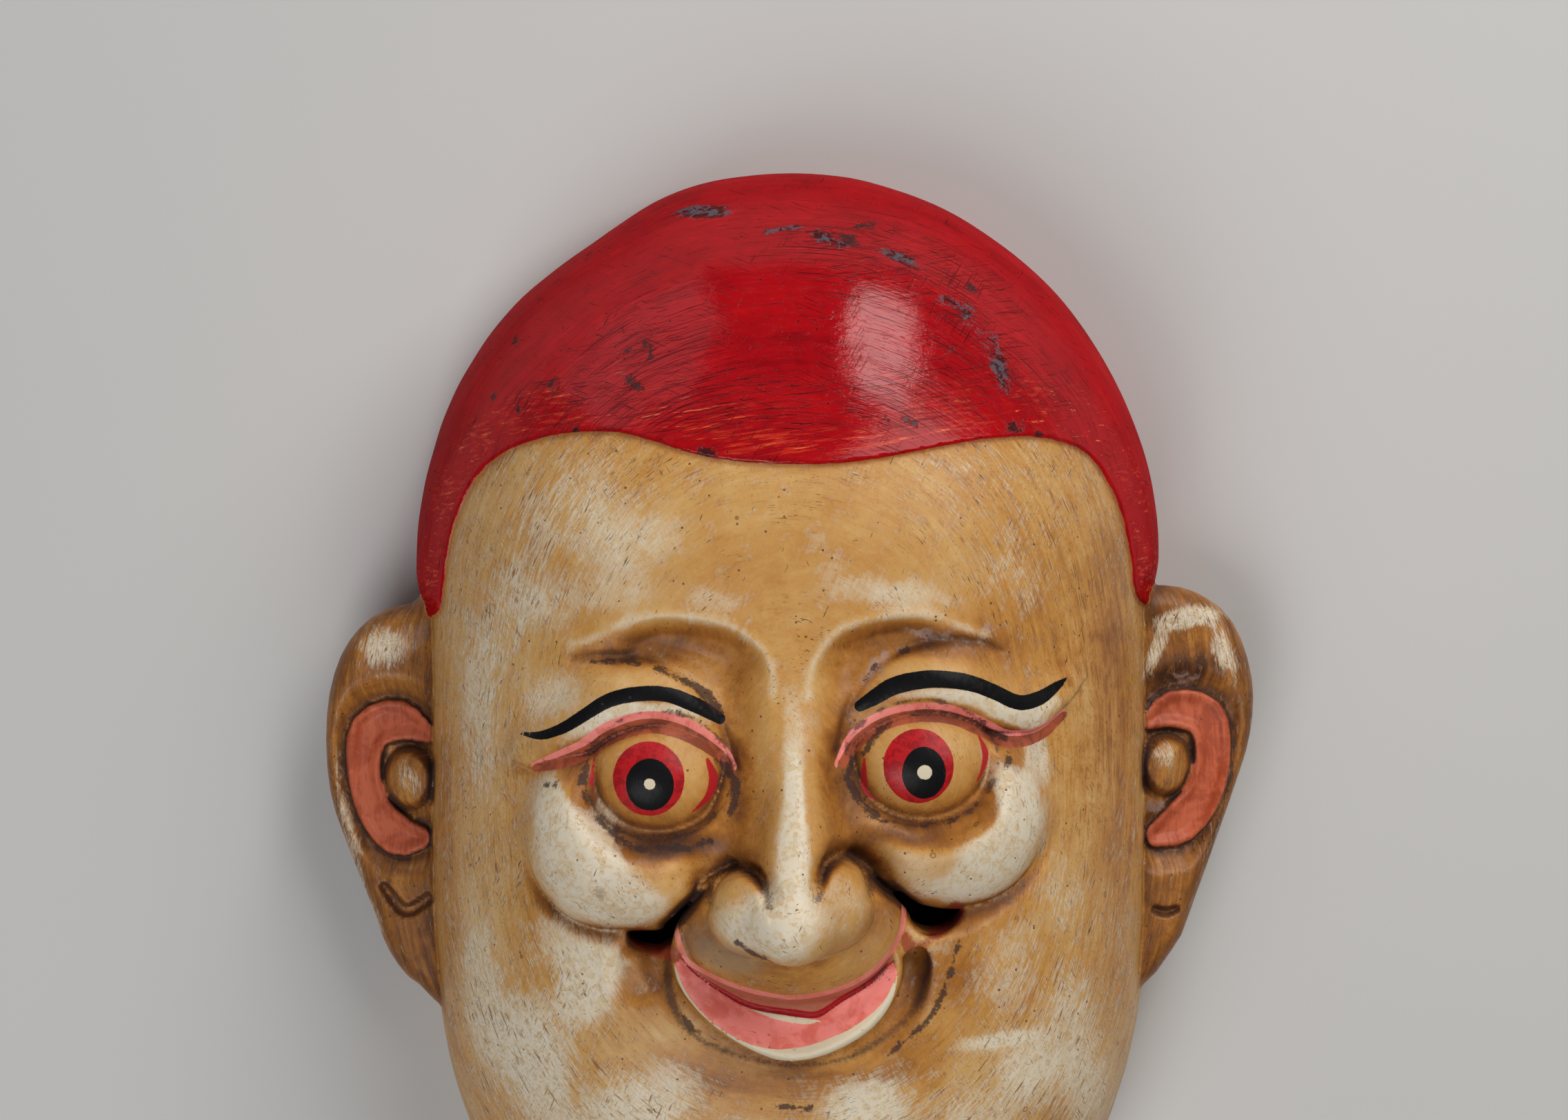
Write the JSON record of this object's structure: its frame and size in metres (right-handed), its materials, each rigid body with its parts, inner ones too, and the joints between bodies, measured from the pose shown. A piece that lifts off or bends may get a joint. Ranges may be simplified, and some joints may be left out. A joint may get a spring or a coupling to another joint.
{
  "type": "carved wooden folk mask",
  "caption": "Comic folk mask carved from one block of wood, hollow behind, with bulging eyes, puffed cheeks, hooked nose, big ears and a raised painted cap of hair.",
  "frame": {"origin": "middle of the bounding box, on the surface that the back rim rests on", "axes": "+Z the way the face looks, away from the surface; +Y towards the crown; +X towards the ear on the viewer's right"},
  "size_m": [0.2732, 0.3348, 0.1473],
  "materials": {
    "painted_wood": "gesso and oil paint under a rubbed brown glaze and gloss varnish, worn"
  },
  "bodies": {
    "root": {"mask": "painted_wood"}
  },
  "joints": []
}
